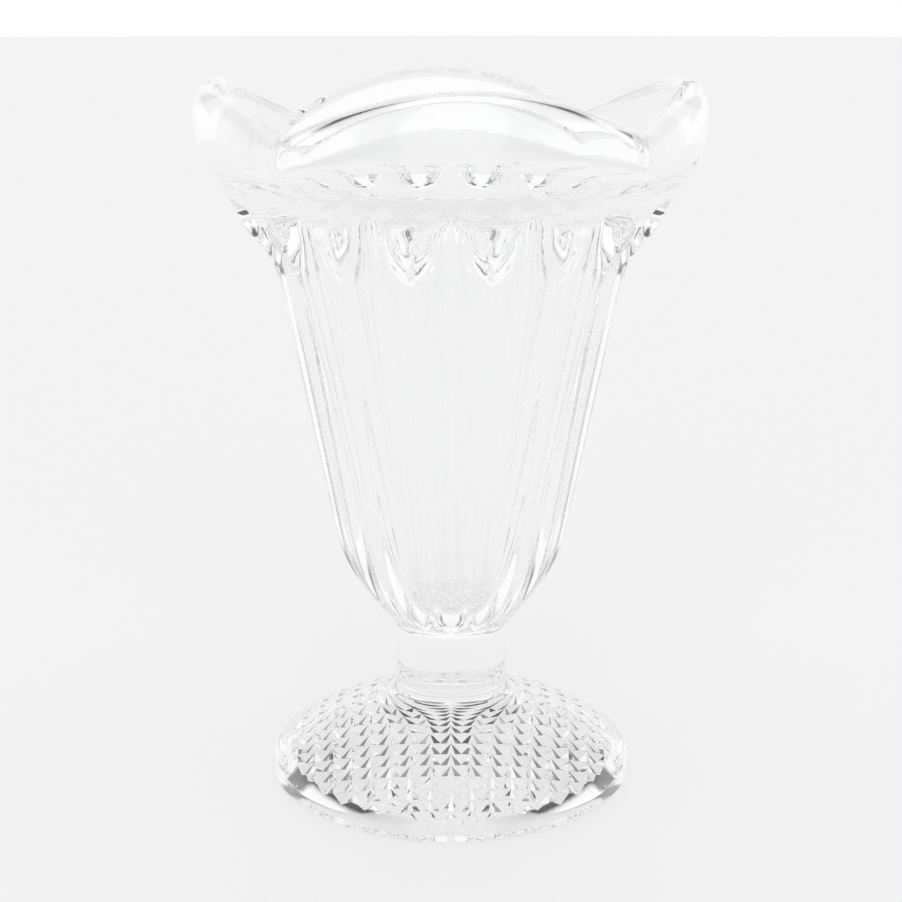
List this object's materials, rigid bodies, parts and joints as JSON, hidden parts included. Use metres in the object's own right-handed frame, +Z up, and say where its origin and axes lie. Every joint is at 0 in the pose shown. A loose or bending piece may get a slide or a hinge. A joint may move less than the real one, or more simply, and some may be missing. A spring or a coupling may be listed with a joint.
{
  "type": "sundae glass",
  "caption": "Footed sundae glass of clear pressed glass: fluted tulip bowl with a lobed flared rim, short round stem and domed foot with pyramids pressed into its underside.",
  "frame": {"origin": "centre of the foot's resting ring, on the surface the glass stands on", "axes": "+Z up along the glass's axis, -Y towards the picture's camera, +X to the right in the picture"},
  "size_m": [0.1042, 0.1042, 0.15],
  "materials": {
    "bowl_glass": "clear, fire-polished",
    "stem_glass": "clear, fire-polished",
    "foot_glass": "clear, pressed pyramids underneath"
  },
  "bodies": {
    "root": {"bowl": "bowl_glass", "stem": "stem_glass", "foot": "foot_glass"}
  },
  "joints": []
}
